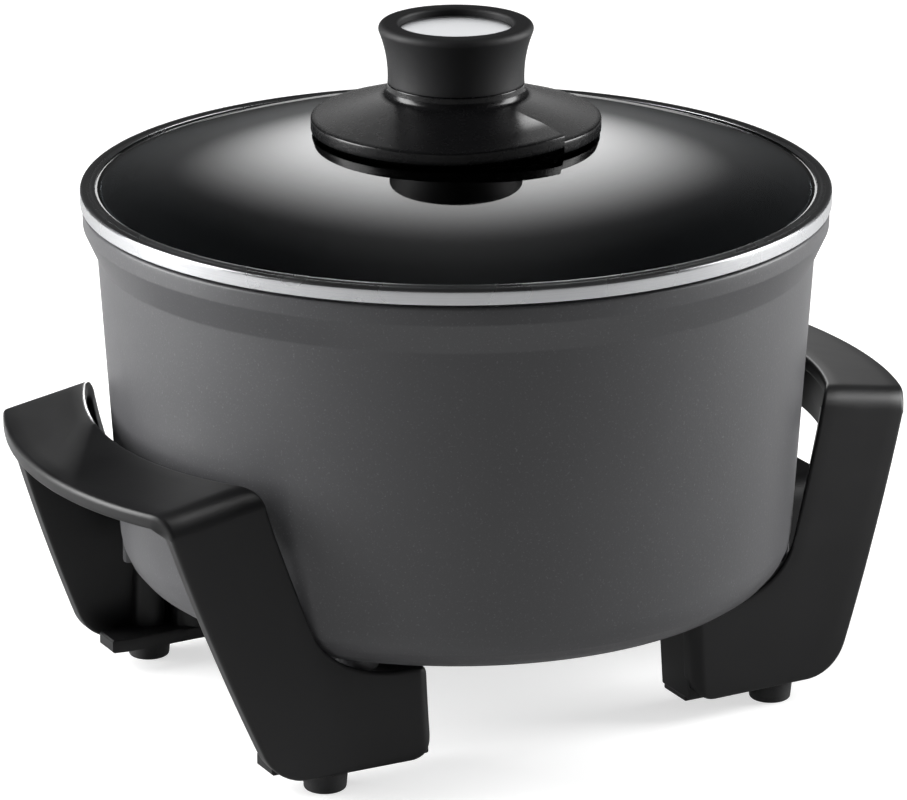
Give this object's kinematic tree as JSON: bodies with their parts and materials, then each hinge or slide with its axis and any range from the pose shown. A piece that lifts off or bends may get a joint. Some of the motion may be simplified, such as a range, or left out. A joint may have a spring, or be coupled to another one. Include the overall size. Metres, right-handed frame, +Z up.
{
  "type": "electric multicooker",
  "caption": "Deep round electric multicooker: dark cast pot on arched black handle legs, domed glass lid with steel rim and a flared vent knob, and a heater inlet on one side.",
  "frame": {"origin": "on the floor under the middle of the pot", "axes": "+Z up along the pot axis, +X along the line through both handles towards the heater inlet, front towards -Y"},
  "size_m": [0.3288, 0.2696, 0.2487],
  "materials": {
    "pot_coating": "cast, with a satin dark grey non-stick coating",
    "heater_sheath": "dull heat-tinted",
    "contact_metal": "plain",
    "ceramic": "unglazed ceramic",
    "black_moulding": "fine satin",
    "screw_steel": "zinc plated",
    "foot_rubber": "matte",
    "tinted_glass": "clear tinted",
    "ring_steel": "satin",
    "seal_silicone": "matte",
    "insert_brass": "plain",
    "knob_gloss": "polished",
    "knob_matte": "matte",
    "disc_metal": "brushed"
  },
  "bodies": {
    "base": {"pot": "pot_coating", "heating_element": "heater_sheath", "terminal_pins": "contact_metal", "terminal_insulators": "ceramic", "inlet_guard": "black_moulding", "guard_screws": "screw_steel", "left_handle": "black_moulding", "right_handle": "black_moulding", "handle_screws": "screw_steel", "front_left_foot": "foot_rubber", "front_right_foot": "foot_rubber", "back_left_foot": "foot_rubber", "back_right_foot": "foot_rubber", "foot_screws": "screw_steel"},
    "lid": {"lid_glass": "tinted_glass", "lid_ring": "ring_steel", "vent_eyelet": "screw_steel", "knob_gasket": "seal_silicone", "knob_washer": "screw_steel"},
    "knob": {"knob_screw": "screw_steel", "knob_insert": "insert_brass", "knob_flange": "knob_gloss", "knob_grip": "knob_matte", "knob_disc": "disc_metal"}
  },
  "joints": [
    {"name": "lid_lift", "type": "slide", "parent": "base", "child": "lid", "axis": [0, 0, 1], "range_m": [0, 0.15]},
    {"name": "vent_turn", "type": "hinge", "parent": "lid", "child": "knob", "pos_m": [0, 0, 0.215], "axis": [0, 0, 1], "range_deg": [0, 90]}
  ]
}
